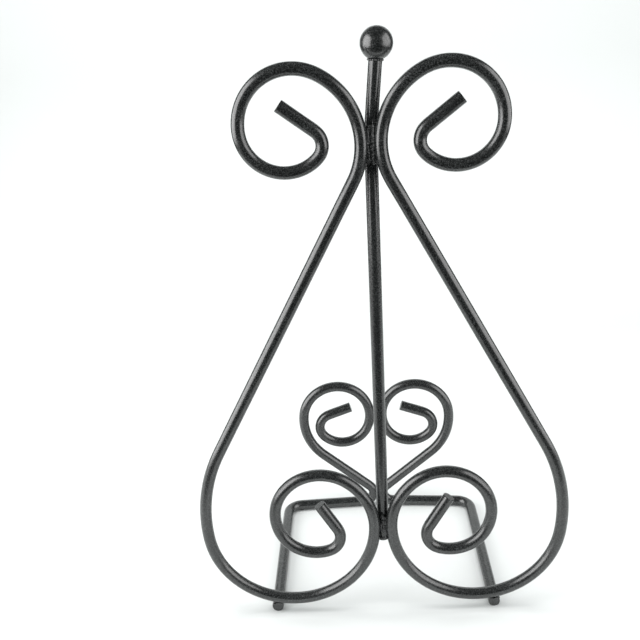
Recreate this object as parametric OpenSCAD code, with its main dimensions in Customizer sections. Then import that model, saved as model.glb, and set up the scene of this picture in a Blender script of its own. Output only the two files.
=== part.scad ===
// Display easel bent from round steel rod, with a ball finial.
// Two tall scrolls stand upright side by side and meet at a top and a bottom weld, with a post
// between them. Two base rods run back along the floor under the scrolls, turn in to the middle
// and rise as a heart-shaped lip.
// Millimetres, +Z up, floor at Z = 0. The heart lip is on the +Y side.

/* [Rod] */
// diameter of all the rods
rod_d = 7; // [4:0.1:10]
// distance of each scroll's axis from the middle at its two welds
weld_x = 5; // [3.6:0.1:6.9]

/* [Tall scroll] */
// lean of the long straight away from upright
slant = 28.5; // [15:0.5:45]
// radius of the throat at the top weld
throat_r = 39.5; // [20:0.5:60]
// turn from the upright throat to the first bend of the top curl
throat_turn = 62; // [30:1:90]
// radii of the top curl's bends, from the throat to the tip
top_radii = [27.5, 23, 9]; // [5:0.5:60]
// turns of the top curl's bends
top_turns = [123, 130, 98]; // [10:1:180]
// straight tail at the tip of the top curl
top_tail = 22; // [5:0.5:40]
// radius of the shoulder between the long straight and the lobe
shoulder_r = 96; // [60:1:150]
// turn of the shoulder
shoulder_turn = 36; // [10:1:60]
// radius of the round lobe that stands on the foot rod
lobe_r = 49.5; // [30:0.5:70]
// radii of the lower curl's bends, from the lobe to the tip
curl_radii = [37, 27, 23, 10]; // [5:0.5:60]
// turns of the lower curl's bends
curl_turns = [56, 160, 73, 102]; // [10:1:180]
// straight tails at the tips of the lower curls, left then right
curl_tails = [19.5, 23]; // [5:0.5:40]

/* [Post and ball] */
// diameter of the ball finial
ball_d = 16.5; // [8:0.5:30]
// height of the ball's centre above the floor
ball_z = 330; // [300:1:400]
// height of the post's cut lower end
post_z = 47.5; // [20:0.5:60]
// sideways bend of the post above the top weld
post_turn = 5.5; // [0:0.5:15]
// radius of that bend
post_bend_r = 60; // [20:5:100]
// depth of the socket in the ball
socket = 1; // [0.5:0.5:4]

/* [Base rod] */
// distance of each foot rod from the middle
foot_x = 66; // [40:1:90]
// length of a foot rod from the scrolls to its corner
foot_l = 113; // [80:0.5:150]
// stub of the foot rod in front of the scrolls' plane
stub = 0.5; // [0:0.5:10]
// radius of the corner
corner_r = 10; // [5:1:30]
// sweep of each crossbar away from straight across
sweep = 4; // [0:0.5:15]
// radius of the fold from the crossbar into the heart's leg
fold_r = 7; // [4:0.5:15]
// rise of the heart's leg above level
leg_rise = 41; // [20:1:70]
// straight part of the heart's leg
leg_l = 43.5; // [20:0.5:80]
// radii of the heart's bends, from the leg to the tip
heart_radii = [37, 23.5, 19, 10]; // [5:0.5:60]
// turns of the heart's bends
heart_turns = [56, 194, 117, 114]; // [10:1:220]
// straight tail at the tip of the heart's curl
heart_tail = 16.5; // [5:0.5:40]

/* [Welds] */
// radius of a weld bead
bead_r = 2.6; // [1.5:0.1:4]
// spacing of the beads in a run
bead_pitch = 3; // [1:0.1:6]

/* [Joints] */
// extra radius of the slight swell where a straight meets a bend
swell = 0.05; // [0.02:0.01:0.2]
// distance that each stretch stops short of its own ends, inside the swell
seam = 0.1; // [0.05:0.01:0.2]

/* [Hidden] */
$fn = 48;
rod_r = rod_d / 2;
black = [0.1, 0.1, 0.11];
weld_black = [0.13, 0.13, 0.14];

// A bent rod is a start [x, y, heading] and a list of steps. A step is [0, length] for a straight
// or [radius, turn] for a bend, with left turns positive.
function after(at, step) =
    step[0] == 0
    ? [at[0] + step[1] * cos(at[2]), at[1] + step[1] * sin(at[2]), at[2]]
    : let (r = sign(step[1]) * step[0], heading = at[2] + step[1])
      [at[0] + r * (sin(heading) - sin(at[2])), at[1] - r * (cos(heading) - cos(at[2])), heading];
function walk(at, steps, n = 0) =
    n == len(steps) ? at : walk(after(at, steps[n]), steps, n + 1);
function first(steps, n) = [for (i = [0:1:n - 1]) steps[i]];
function right_bends(radii, turns) = [for (i = [0:len(radii) - 1]) [radii[i], -turns[i]]];
function left_bends(radii, turns) = [for (i = [0:len(radii) - 1]) [radii[i], turns[i]]];

// The scroll turns through its lobe until it heads straight up beside the post, so the long
// straight is as long as that needs, and the lobe's height is where it rests on the foot rod.
lobe = [[shoulder_r, -shoulder_turn], [lobe_r, shoulder_turn - slant - 180]];
throat_out = weld_x + throat_r * (1 - cos(slant));
lobe_in = walk([0, 0, slant - 90], lobe)[0];
straight_l = (weld_x - throat_out - lobe_in) / sin(slant);
lobe_z = rod_r + sqrt(pow(lobe_r + rod_d, 2) - pow(foot_x - weld_x - lobe_r, 2));
scroll_drop = walk([0, 0, slant - 90], concat([[0, straight_l]], lobe))[1];
straight_top = [throat_out, lobe_z - scroll_drop, slant - 90];
throat_z = straight_top[1] + throat_r * sin(slant);

// The post touches both scrolls from behind at the two welds.
post_y = sqrt(pow(rod_d, 2) - pow(weld_x, 2));
bend_z = throat_z + 1;
post_steps = [[0, bend_z - post_z], [post_bend_r, -post_turn]];
bend_end = walk([0, post_z, 90], post_steps);
ball_x = bend_end[0] + (ball_z - bend_end[1]) * tan(post_turn);
ball_run = (ball_z - bend_end[1]) / cos(post_turn) - ball_d / 2 + socket;

// The folds of the base rods touch in the middle at the back, fold_u out along each crossbar.
fold_u = rod_r / cos(sweep);
cross_l = foot_x / cos(sweep);
peak = foot_l + foot_x * tan(sweep);
corner_turn = 90 - sweep;
corner_set = corner_r * tan(corner_turn / 2);

// The origin is on the floor, midway between the front of the scrolls or ball and the folds' back.
front = min(-rod_r, post_y - ball_d / 2);
back = peak + rod_r * (1 - tan(sweep));
scroll_y = -(front + back) / 2;

// One straight or bend of rod in the XY plane.
module stretch(at, step)
    translate([at[0], at[1], 0]) rotate(at[2])
        if (step[0] == 0)
            translate([seam, 0, 0]) rotate([0, 90, 0]) cylinder(h = step[1] - 2 * seam, r = rod_r);
        else {
            trim = seam / step[0] * 180 / PI;
            translate([0, sign(step[1]) * step[0], 0])
                rotate(trim + (step[1] > 0 ? -90 : 90 + step[1]))
                    rotate_extrude(angle = abs(step[1]) - 2 * trim)
                        translate([step[0], 0]) circle(r = rod_r);
        }

// The swell that joins one stretch to the next.
module joint(at)
    translate([at[0], at[1], 0]) rotate(at[2]) rotate([0, 90, 0]) sphere(r = rod_r + swell);

// A rod bent in the XY plane. It can carry on from another one that ends at the same place.
module bent(at, steps, carries_on = false)
    for (i = [0:len(steps) - 1]) {
        from = walk(at, first(steps, i));
        stretch(from, steps[i]);
        if (i > 0 || carries_on) joint(from);
    }

// Stands a flat bend up in the scrolls' plane.
module upright() translate([0, scroll_y, 0]) rotate([90, 0, 0]) children();

// The tall scroll on the right, with a tail of the given length on its lower curl.
module scroll(tail) color(black) upright() {
    up = [straight_top[0], straight_top[1], straight_top[2] + 180];
    bent(up, concat([[throat_r, -slant - throat_turn]], right_bends(top_radii, top_turns),
                    [[0, top_tail]]));
    bent(straight_top, concat([[0, straight_l]], lobe, right_bends(curl_radii, curl_turns),
                              [[0, tail]]), carries_on = true);
}

module scroll_left() mirror([1, 0, 0]) scroll(curl_tails[0]);

module scroll_right() scroll(curl_tails[1]);

module post() color(black) translate([0, post_y, 0]) upright()
    bent([0, post_z, 90], concat(post_steps, [[0, ball_run]]));

module finial_ball() color(black) difference() {
    translate([ball_x, scroll_y + post_y, ball_z]) sphere(d = ball_d);
    post();
}

// The right foot rod and crossbar on the floor.
module floor_rod()
    translate([0, scroll_y, rod_r])
        bent([foot_x, -stub, 90], [[0, foot_l + stub - corner_set], [corner_r, corner_turn],
                                   [0, cross_l - corner_set - fold_u - fold_r]]);

// The right half of the heart, from the end of its crossbar up.
module heart_half()
    translate([0, scroll_y + peak, rod_r]) rotate(-sweep) rotate([90, 0, 0])
        bent([fold_u + fold_r, 0, 180], concat([[fold_r, leg_rise - 180], [0, leg_l]],
                                               left_bends(heart_radii, heart_turns),
                                               [[0, heart_tail]]), carries_on = true);

module base_rod_right() color(black) {
    floor_rod();
    heart_half();
}

module base_rod_left() mirror([1, 0, 0]) base_rod_right();

// A short run of weld beads up the middle, each a little off line from the one before.
module beads(y, z, count, r = bead_r)
    for (i = [0:count - 1])
        translate([0.5 * sin(140 * i), y + 0.3 * cos(100 * i), z + (i - (count - 1) / 2) * bead_pitch])
            sphere(r = r);

// A weld in the valley between the two scrolls, in front of the post.
module valley_weld(z, count) color(weld_black) difference() {
    beads(scroll_y - 0.5, z, count);
    scroll_left();
    scroll_right();
    post();
}

module weld_top() valley_weld(throat_z, 5);

module weld_bottom() valley_weld(lobe_z - 2, 4);

// A thin collar where the post enters the ball.
module weld_finial() color(weld_black) difference() {
    translate([ball_x, scroll_y + post_y, ball_z]) rotate([0, post_turn, 0])
        translate([0, 0, 0.6 - ball_d / 2]) rotate_extrude() translate([rod_r, 0]) circle(r = 1);
    finial_ball();
    post();
}

// Beads behind the lobe where it rests on the foot rod.
module foot_weld() color(weld_black) difference() {
    for (i = [-1:1])
        translate([foot_x + 1.6 * i, scroll_y + 3.3, rod_r + 4.2 - 0.3 * i]) sphere(r = 2);
    scroll_right();
    base_rod_right();
}

module weld_foot_right() foot_weld();

module weld_foot_left() mirror([1, 0, 0]) foot_weld();

// Beads in front of the two folds.
module weld_base() color(weld_black) difference() {
    beads(scroll_y + peak - 3.2, rod_r + fold_r, 3, 2.3);
    base_rod_left();
    base_rod_right();
}

scroll_left();
scroll_right();
post();
finial_ball();
base_rod_left();
base_rod_right();
weld_top();
weld_bottom();
weld_finial();
weld_foot_left();
weld_foot_right();
weld_base();
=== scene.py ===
"""Display easel of bent steel rod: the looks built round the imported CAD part. Metres, +Z up."""

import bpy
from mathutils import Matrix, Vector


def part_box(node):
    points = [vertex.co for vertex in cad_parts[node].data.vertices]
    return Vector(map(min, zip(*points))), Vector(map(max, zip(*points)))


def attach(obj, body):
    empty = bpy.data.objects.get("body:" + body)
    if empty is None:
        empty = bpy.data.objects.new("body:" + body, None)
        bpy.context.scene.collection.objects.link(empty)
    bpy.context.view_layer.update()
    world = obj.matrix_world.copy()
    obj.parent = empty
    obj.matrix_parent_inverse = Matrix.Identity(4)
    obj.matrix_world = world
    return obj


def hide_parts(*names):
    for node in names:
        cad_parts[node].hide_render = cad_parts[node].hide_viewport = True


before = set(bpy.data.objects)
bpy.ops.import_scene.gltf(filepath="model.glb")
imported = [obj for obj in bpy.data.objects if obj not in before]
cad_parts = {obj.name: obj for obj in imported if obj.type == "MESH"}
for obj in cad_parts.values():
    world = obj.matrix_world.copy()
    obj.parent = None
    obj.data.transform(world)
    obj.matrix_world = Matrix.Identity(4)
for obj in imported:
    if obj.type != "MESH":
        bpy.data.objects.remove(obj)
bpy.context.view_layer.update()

import math

import bpy
import bmesh
from mathutils import Matrix, Vector, noise

MM = 0.001
BODY = "root"
# how far each CAD rod swells where a straight meets a bend
SWELL = 0.05 * MM

# ---------------------------------------------------------------- sizes, from the CAD frame
post_low, post_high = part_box("post")
ball_low, ball_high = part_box("finial_ball")
scroll_low, scroll_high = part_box("scroll_right")
base_low, base_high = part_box("base_rod_right")
ROD_R = (post_high.y - post_low.y) / 2 - SWELL
BALL_R = (ball_high.x - ball_low.x) / 2
BALL_AT = Vector((ball_low.x + BALL_R, (ball_low.y + ball_high.y) / 2, ball_high.z - BALL_R))
POST_Y = (post_low.y + post_high.y) / 2
SCROLL_Y = (scroll_low.y + scroll_high.y) / 2

# Bends of the rods as [radius in mm, turn in degrees], and straights as [0, length in mm].
SLANT = 28.5
SHOULDER_TURN = 36
SHOULDER = [96, -SHOULDER_TURN]
LOBE = [49.5, SHOULDER_TURN - SLANT - 180]
THROAT = [39.5, -SLANT - 62]
TOP_CURL = [THROAT, [27.5, -123], [23, -130], [9, -98], [0, 22]]
LOW_CURL = [[37, -56], [27, -160], [23, -73], [10, -102]]
LOW_TAIL = {"left": 19.5, "right": 23}
LEG_RISE = 41
FOLD_R = 7
HEART = [[FOLD_R, LEG_RISE - 180], [0, 43.5],
         [37, 56], [23.5, 194], [19, 117], [10, 114], [0, 16.5]]

# Other sizes that the boxes of the CAD nodes don't give: lengths in mm, angles in degrees.
WELD_X = 5
POST_TURN = 5.5
POST_BEND_R = 60
SOCKET = 1
SWEEP = 4
CORNER_R = 10

# Strands of weld metal, each [end, end, size in mm]. An end is x in mm, a share of the weld's
# height, and how far it stands forward of the scrolls' plane in mm.
UPPER_STRANDS = [
    [(1.6, 1.25, -0.9), (1.5, 0.6, 0.9), 0.95],
    [(1.5, 0.6, 0.9), (1.2, -0.2, -0.7), 0.95],
    [(-1.7, 1.1, -0.9), (-1.7, 0.5, 0.7), 0.8],
    [(-1.8, 0.55, 0.9), (-1.4, -0.15, -0.8), 0.85],
    [(-2.5, 0.6, 1.9), (-2.3, 0.5, 1.7), 0.5],
    [(0.5, 0.4, 1.3), (0.8, 0.25, 1.3), 0.6],
]
LOWER_STRANDS = [
    [(-0.4, 1.3, -0.9), (0.9, 0.45, 1.2), 1.0],
    [(0.9, 0.45, 1.2), (1.3, 0.0, 0.9), 1.15],
    [(1.7, 1.1, -0.5), (1.9, 0.3, 0.8), 0.95],
    [(-1.7, 0.75, 0.2), (-0.2, 0.25, 1.3), 0.85],
    [(-2.2, 0.0, -0.3), (0.6, -0.05, 0.5), 0.8],
]


# ---------------------------------------------------------------- bent rods
def walk(at, step, part=1.0):
    """Where a bend or straight, or the first part of it, leads from (x, y, heading)."""
    x, y, heading = at
    radius, amount = step[0] * MM, step[1] * part
    angle = math.radians(heading)
    if radius == 0:
        length = amount * MM
        return x + length * math.cos(angle), y + length * math.sin(angle), heading
    radius = math.copysign(radius, amount)
    after = math.radians(heading + amount)
    return (x + radius * (math.sin(after) - math.sin(angle)),
            y - radius * (math.cos(after) - math.cos(angle)), heading + amount)


def flat_path(at, steps, spacing=0.8 * MM):
    """Points along the bends and straights in their own plane, and where they end."""
    points = [Vector((at[0], at[1]))]
    for step in steps:
        length = step[1] * MM if step[0] == 0 else abs(math.radians(step[1])) * step[0] * MM
        count = max(2, round(length / spacing))
        points += [Vector(walk(at, step, i / count)[:2]) for i in range(1, count + 1)]
        at = walk(at, step)
    return points, at


def fitted_scroll(side):
    """The tall scroll's path in X and Z, moved to where the CAD scroll is."""
    inner = flat_path((0, 0, SLANT - 90), [SHOULDER, LOBE])[1][0]
    throat_out = WELD_X * MM + THROAT[0] * MM * (1 - math.cos(math.radians(SLANT)))
    straight = (WELD_X * MM - throat_out - inner) / math.sin(math.radians(SLANT)) / MM
    top = (throat_out, 0, SLANT - 90)
    up = flat_path((top[0], top[1], top[2] + 180), TOP_CURL)[0]
    down = flat_path(top, [[0, straight], SHOULDER, LOBE] + LOW_CURL + [[0, LOW_TAIL[side]]])[0]
    path = up[:0:-1] + down
    lift = scroll_low.z + ROD_R - min(p.y for p in path)
    flip = -1 if side == "left" else 1
    return [Vector((flip * p.x, SCROLL_Y, p.y + lift)) for p in path]


def post_path():
    """The post, upright to just above the top weld and then bent a little to the side."""
    reach = BALL_AT.x / math.tan(math.radians(POST_TURN))
    bend_at = BALL_AT.z - reach - POST_BEND_R * MM * math.tan(math.radians(POST_TURN / 2))
    steps = [[0, (bend_at - post_low.z) / MM], [POST_BEND_R, -POST_TURN]]
    end = flat_path((0, post_low.z, 90), steps)[1]
    left = (BALL_AT.z - end[1]) / math.cos(math.radians(POST_TURN)) - BALL_R + SOCKET * MM
    path = flat_path((0, post_low.z, 90), steps + [[0, left / MM]])[0]
    return [Vector((p.x, POST_Y, p.y)) for p in path]


def base_path(side):
    """Foot rod, corner, crossbar, fold and half of the heart, moved to where the CAD has them."""
    foot_x = base_high.x - ROD_R - SWELL
    sweep = math.radians(SWEEP)
    fold_out = ROD_R / math.cos(sweep) + FOLD_R * MM
    corner_turn = 90 - SWEEP
    corner_set = CORNER_R * MM * math.tan(math.radians(corner_turn / 2))
    peak = base_high.y - ROD_R * (1 - math.tan(sweep))
    foot_end = base_low.y
    corner_y = peak - foot_x * math.tan(sweep)
    cross = foot_x / math.cos(sweep) - corner_set - fold_out
    floor = flat_path((foot_x, foot_end, 90), [[0, (corner_y - foot_end - corner_set) / MM],
                                               [CORNER_R, corner_turn], [0, cross / MM]])[0]
    path = [Vector((p.x, p.y, ROD_R)) for p in floor]
    rise = flat_path((fold_out, 0, 180), HEART)[0]
    along = Vector((math.cos(sweep), -math.sin(sweep), 0))
    path += [Vector((0, peak, ROD_R + p.y)) + along * p.x for p in rise[1:]]
    flip = -1 if side == "left" else 1
    return [Vector((flip * p.x, p.y, p.z)) for p in path]


def swept_rod(name, path, seed):
    """A round rod along the path, with eased cut ends, slightly flattened bends and a faint
    unevenness that only ever takes the surface in."""
    sides = 28
    uneven = 0.02 * MM
    most_flat, flat_rate = 0.04, 0.13
    # depth behind the cut end, and share of the full radius there
    ease = [(0, 0.86), (0, 0.92), (0.05 * MM, 0.96), (0.14 * MM, 0.99), (0.35 * MM, 1.0)]
    count = len(path)
    steps = [(path[i + 1] - path[i]).length for i in range(count - 1)]
    tangents = [(path[min(i + 1, count - 1)] - path[max(i - 1, 0)]).normalized()
                for i in range(count)]
    stations = []
    for depth, scale in ease:
        stations.append((path[0] + tangents[0] * depth, tangents[0], scale, Vector()))
    for i in range(1, count - 1):
        curve = (tangents[i + 1] - tangents[i - 1]) / (steps[i - 1] + steps[i])
        stations.append((path[i], tangents[i], 1.0, curve))
    for depth, scale in reversed(ease):
        stations.append((path[-1] - tangents[-1] * depth, tangents[-1], scale, Vector()))

    mesh = bmesh.new()
    normal = tangents[0].orthogonal().normalized()
    rings = []
    for centre, tangent, scale, curve in stations:
        normal = (normal - tangent * normal.dot(tangent)).normalized()
        across = tangent.cross(normal)
        flatten = min(most_flat, flat_rate * curve.length * ROD_R)
        outward = -curve.normalized() if curve.length > 1e-6 else Vector()
        ring = []
        for k in range(sides):
            angle = 2 * math.pi * k / sides
            ray = normal * math.cos(angle) + across * math.sin(angle)
            dent = uneven * (noise.noise(centre * 180 + ray * 0.6 + Vector((seed, 0, 0))) + 1)
            pinch = 1 - flatten * max(0.0, ray.dot(outward)) ** 2
            ring.append(mesh.verts.new(centre + ray * (ROD_R * scale * pinch - dent * scale)))
        rings.append(ring)
    for a, b in zip(rings, rings[1:]):
        for k in range(sides):
            mesh.faces.new((a[k - 1], a[k], b[k], b[k - 1]))
    for ring, end in ((rings[0], False), (rings[-1], True)):
        centre = mesh.verts.new(sum((v.co for v in ring), Vector()) / sides)
        for k in range(sides):
            mesh.faces.new((ring[k], ring[k - 1], centre) if not end
                           else (ring[k - 1], ring[k], centre))
    return finished(name, mesh)


def finished(name, mesh):
    """Turns a bmesh into a smooth-shaded object."""
    bmesh.ops.recalc_face_normals(mesh, faces=mesh.faces)
    data = bpy.data.meshes.new(name)
    mesh.to_mesh(data)
    mesh.free()
    data.shade_smooth()
    piece = bpy.data.objects.new(name, data)
    bpy.context.scene.collection.objects.link(piece)
    return piece


# ---------------------------------------------------------------- ball and welds
def ball():
    """The ball finial, faintly uneven under its paint."""
    broad, fine = 0.03 * MM, 0.012 * MM
    mesh = bmesh.new()
    bmesh.ops.create_icosphere(mesh, subdivisions=6, radius=1)
    for v in mesh.verts:
        ray = v.co.normalized()
        dent = broad * (noise.noise(ray * 3.1) + 1) + fine * (noise.noise(ray * 19) + 1)
        v.co = BALL_AT + ray * (BALL_R - dent)
    return finished("ball", mesh)


def lump(mesh, at, radii, turn=(0, 0)):
    """Adds one squashed bead of metal to the mesh, turned about X and Y."""
    turned = Matrix.Rotation(turn[0], 4, "X") @ Matrix.Rotation(turn[1], 4, "Y")
    shape = Matrix.Translation(at) @ turned @ Matrix.Diagonal((*radii, 1))
    bmesh.ops.create_icosphere(mesh, subdivisions=3, radius=1, matrix=shape)


def weld(name, mesh, voxel, rough=0.1 * MM):
    """Melts a mesh of beads together on a grid of the voxel size, and roughens it."""
    piece = finished(name, mesh)
    remesh = piece.modifiers.new("melt", "REMESH")
    remesh.mode = "VOXEL"
    remesh.voxel_size = voxel
    smooth = piece.modifiers.new("settle", "SMOOTH")
    smooth.iterations = 2
    smooth.factor = 0.4
    graph = bpy.context.evaluated_depsgraph_get()
    data = bpy.data.meshes.new_from_object(piece.evaluated_get(graph))
    piece.modifiers.clear()
    piece.data = data
    for v in data.vertices:
        v.co += v.normal * rough * noise.noise(v.co * 1400)
    data.shade_smooth()
    return piece


def strand(mesh, start, end, size, seed):
    """A run of overlapping weld ripples from one point to another, none quite like the last."""
    count = max(2, round((end - start).length / (0.75 * size)))
    for i in range(count):
        here = start.lerp(end, i / (count - 1))
        wander = noise.noise_vector(Vector((seed, 0.9 * i, 0.3)))
        grow = 1 + 0.3 * noise.noise(Vector((0.7 * i, seed, 1.1)))
        radius = size * grow
        lump(mesh, here + wander * (0.35 * size), (radius, radius, 0.62 * radius),
             (wander.x, 1.3 * wander.y))


def valley_weld(name, node, strands):
    """Weld metal melted into the valley between the scrolls and onto the post behind them.

    The strands lie over a core that fills the valley."""
    low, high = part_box(node)
    mesh = bmesh.new()
    margin = 1.2 * MM
    foot, span = low.z + margin, high.z - low.z - 2 * margin
    for seed, (start, end, size) in enumerate(strands):
        points = [Vector((x * MM, SCROLL_Y - forward * MM, foot + share * span))
                  for x, share, forward in (start, end)]
        strand(mesh, *points, size * MM, 3.7 * seed + low.z * 90)
    lump(mesh, Vector((0, SCROLL_Y + 0.7 * MM, (low.z + high.z) / 2)),
         (2.0 * MM, 1.4 * MM, (high.z - low.z) / 2 + 0.6 * MM))
    return weld(name, mesh, 0.22 * MM, 0.06 * MM)


def collar_weld():
    """A thin uneven ring of weld where the post enters the ball."""
    low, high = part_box("weld_finial")
    centre = (low + high) / 2
    turned = Matrix.Rotation(math.radians(POST_TURN), 4, "Y")
    mesh = bmesh.new()
    count = 20
    for i in range(count):
        angle = 2 * math.pi * i / count
        size = (0.62 + 0.12 * noise.noise(Vector((i * 1.7, 0, 0)))) * MM
        out = ROD_R + 0.1 * MM
        ray = turned @ Vector((math.cos(angle) * out, math.sin(angle) * out, 0))
        lump(mesh, centre + ray, (size, size, size))
    return weld("weld_collar", mesh, 0.16 * MM, 0.04 * MM)


def foot_weld(side):
    """Beads behind the place where the scroll rests on the foot rod, and spatter under its front."""
    low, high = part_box("weld_foot_" + side)
    centre = (low + high) / 2
    seed = 4 if side == "left" else 9
    mesh = bmesh.new()
    strand(mesh, Vector((low.x + 1.4 * MM, centre.y, centre.z)),
           Vector((high.x - 1.4 * MM, centre.y, centre.z - 0.3 * MM)), 1.5 * MM, seed)
    front = SCROLL_Y - 1.3 * MM
    rest = 2 * ROD_R - 0.4 * MM
    strand(mesh, Vector((centre.x - 2.4 * MM, front, rest - 0.2 * MM)),
           Vector((centre.x + 2.4 * MM, front, rest + 0.2 * MM)), 0.9 * MM, seed + 2)
    return weld("weld_bead_" + side, mesh, 0.2 * MM)


def fold_weld():
    """Beads between the two folds at the back."""
    low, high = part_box("weld_base")
    centre = (low + high) / 2
    mesh = bmesh.new()
    strand(mesh, Vector((0, centre.y, high.z - 1.9 * MM)),
           Vector((0, centre.y, low.z + 1.9 * MM)), 1.9 * MM, 21)
    return weld("weld_folds", mesh, 0.22 * MM)


# ---------------------------------------------------------------- materials
BLACK = (0.006, 0.0068, 0.0068)


def paint(name, fleck_grey, speckle, rough, grain, grain_depth):
    """Black paint: a fine grey speckle, uneven gloss and an orange-peel surface.

    speckle and grain are noise scales, and rough is the lowest and highest roughness."""
    material = bpy.data.materials.new(name)
    material.use_nodes = True
    nodes, links = material.node_tree.nodes, material.node_tree.links
    shader = nodes["Principled BSDF"]
    shader.inputs["Specular IOR Level"].default_value = 0.9
    place = nodes.new("ShaderNodeTexCoord")

    def noise_at(scale, detail, roughness=0.5):
        node = nodes.new("ShaderNodeTexNoise")
        node.inputs["Scale"].default_value = scale
        node.inputs["Detail"].default_value = detail
        node.inputs["Roughness"].default_value = roughness
        links.new(place.outputs["Object"], node.inputs["Vector"])
        return node.outputs["Fac"]

    def ramp(value, low, high, out_low, out_high):
        node = nodes.new("ShaderNodeMapRange")
        for key, number in (("From Min", low), ("From Max", high),
                            ("To Min", out_low), ("To Max", out_high)):
            node.inputs[key].default_value = number
        links.new(value, node.inputs["Value"])
        return node.outputs["Result"]

    fleck = ramp(noise_at(speckle, 2, 0.6), 0.48, 0.68, 0, 1)
    cloud = ramp(noise_at(60, 2), 0.35, 0.65, 0.6, 1)
    amount = nodes.new("ShaderNodeMath")
    amount.operation = "MULTIPLY"
    links.new(fleck, amount.inputs[0])
    links.new(cloud, amount.inputs[1])
    colour = nodes.new("ShaderNodeMix")
    colour.data_type = "RGBA"
    colour.inputs["A"].default_value = (*BLACK, 1)
    colour.inputs["B"].default_value = (*fleck_grey, 1)
    links.new(amount.outputs[0], colour.inputs["Factor"])
    links.new(colour.outputs["Result"], shader.inputs["Base Color"])
    links.new(ramp(noise_at(speckle * 0.6, 2), 0.3, 0.7, rough[0], rough[1]),
              shader.inputs["Roughness"])
    bump = nodes.new("ShaderNodeBump")
    bump.inputs["Strength"].default_value = 0.6
    bump.inputs["Distance"].default_value = grain_depth
    links.new(noise_at(grain, 3, 0.6), bump.inputs["Height"])
    links.new(bump.outputs["Normal"], shader.inputs["Normal"])
    return material


def plain_floor():
    """A sheet of matt white paper under the object, swept up behind it."""
    mesh = bmesh.new()
    half, front, back, radius, top = 0.55, -0.2, 0.42, 0.28, 1.0
    steps = 16
    profile = [(front, 0.0)]
    for i in range(steps + 1):
        angle = math.radians(90 * i / steps)
        profile.append((back + radius * math.sin(angle), radius * (1 - math.cos(angle))))
    profile.append((back + radius, top))
    rows = [[mesh.verts.new((x, y, z)) for x in (-half, half)] for y, z in profile]
    for a, b in zip(rows, rows[1:]):
        mesh.faces.new((a[0], a[1], b[1], b[0]))
    sweep = finished("floor", mesh)
    material = bpy.data.materials.new("floor_white")
    material.use_nodes = True
    shader = material.node_tree.nodes["Principled BSDF"]
    shader.inputs["Base Color"].default_value = (0.63, 0.645, 0.64, 1)
    shader.inputs["Roughness"].default_value = 0.9
    sweep.data.materials.append(material)


# ---------------------------------------------------------------- light and camera
def soft_light(name, at, aim, size, power):
    """A rectangular lamp, aimed at a point. Size in metres, power in watts."""
    data = bpy.data.lights.new(name, "AREA")
    data.shape = "RECTANGLE"
    data.size, data.size_y = size
    data.energy = power
    light = bpy.data.objects.new(name, data)
    light.location = at
    light.rotation_euler = (Vector(aim) - Vector(at)).to_track_quat("-Z", "Y").to_euler()
    bpy.context.scene.collection.objects.link(light)
    return light


def studio():
    """Two large soft panels, left and right, and a broad fill from above.

    The fill and the room's own light don't show in reflections."""
    for name, x, power in (("left_panel", -0.85, 20), ("right_panel", 0.85, 12.5)):
        soft_light(name, (x, -0.38, 0.56), (0, -0.38, 0.56), (1.15, 1.1), power)
    fill = soft_light("ceiling_fill", (0, 0, 1.7), (0, 0, 0), (1.4, 1.0), 20)
    fill.visible_glossy = False
    world = bpy.data.worlds.new("room")
    world.use_nodes = True
    ambient = world.node_tree.nodes["Background"]
    ambient.inputs["Color"].default_value = (0.95, 1, 0.99, 1)
    ambient.inputs["Strength"].default_value = 0.42
    world.cycles_visibility.glossy = False
    bpy.context.scene.world = world
    bpy.context.scene.view_settings.view_transform = "Standard"


def camera():
    """The view down over the tall scrolls towards the heart-shaped lip."""
    data = bpy.data.cameras.new("camera")
    data.sensor_width = 36
    data.lens = 47.8
    data.clip_start = 0.01
    eye = bpy.data.objects.new("camera", data)
    eye.location = (-0.01, -0.4895, 0.3452)
    eye.rotation_euler = [math.radians(angle) for angle in (70.12, 3.0, 1.64)]
    bpy.context.scene.collection.objects.link(eye)
    bpy.context.scene.camera = eye


# ---------------------------------------------------------------- assembly
def place(piece, node, slot, material):
    """Gives a piece its material and its body, and hides the CAD node it stands in for. The slot
    argument is not used.
    """
    piece.data.materials.clear()
    piece.data.materials.append(material)
    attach(piece, BODY)
    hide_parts(node)


rod_paint = paint("rod_paint", (0.07, 0.074, 0.074), 2100, (0.19, 0.33), 1700, 0.025 * MM)
ball_paint = paint("ball_paint", (0.06, 0.063, 0.063), 1700, (0.2, 0.36), 1100, 0.035 * MM)
weld_paint = paint("weld_paint", (0.06, 0.063, 0.063), 2000, (0.2, 0.36), 1500, 0.03 * MM)

for seed, side in enumerate(("left", "right")):
    place(swept_rod("tall_scroll_" + side, fitted_scroll(side), seed), "scroll_" + side, "rod",
          rod_paint)
    place(swept_rod("base_heart_" + side, base_path(side), 5 + seed), "base_rod_" + side, "rod",
          rod_paint)
    place(foot_weld(side), "weld_foot_" + side, "weld", weld_paint)
place(swept_rod("post_rod", post_path(), 9), "post", "rod", rod_paint)
place(ball(), "finial_ball", "ball", ball_paint)
place(valley_weld("weld_upper", "weld_top", UPPER_STRANDS), "weld_top", "weld", weld_paint)
place(valley_weld("weld_lower", "weld_bottom", LOWER_STRANDS), "weld_bottom", "weld", weld_paint)
place(collar_weld(), "weld_finial", "weld", weld_paint)
place(fold_weld(), "weld_base", "weld", weld_paint)

plain_floor()
studio()
camera()
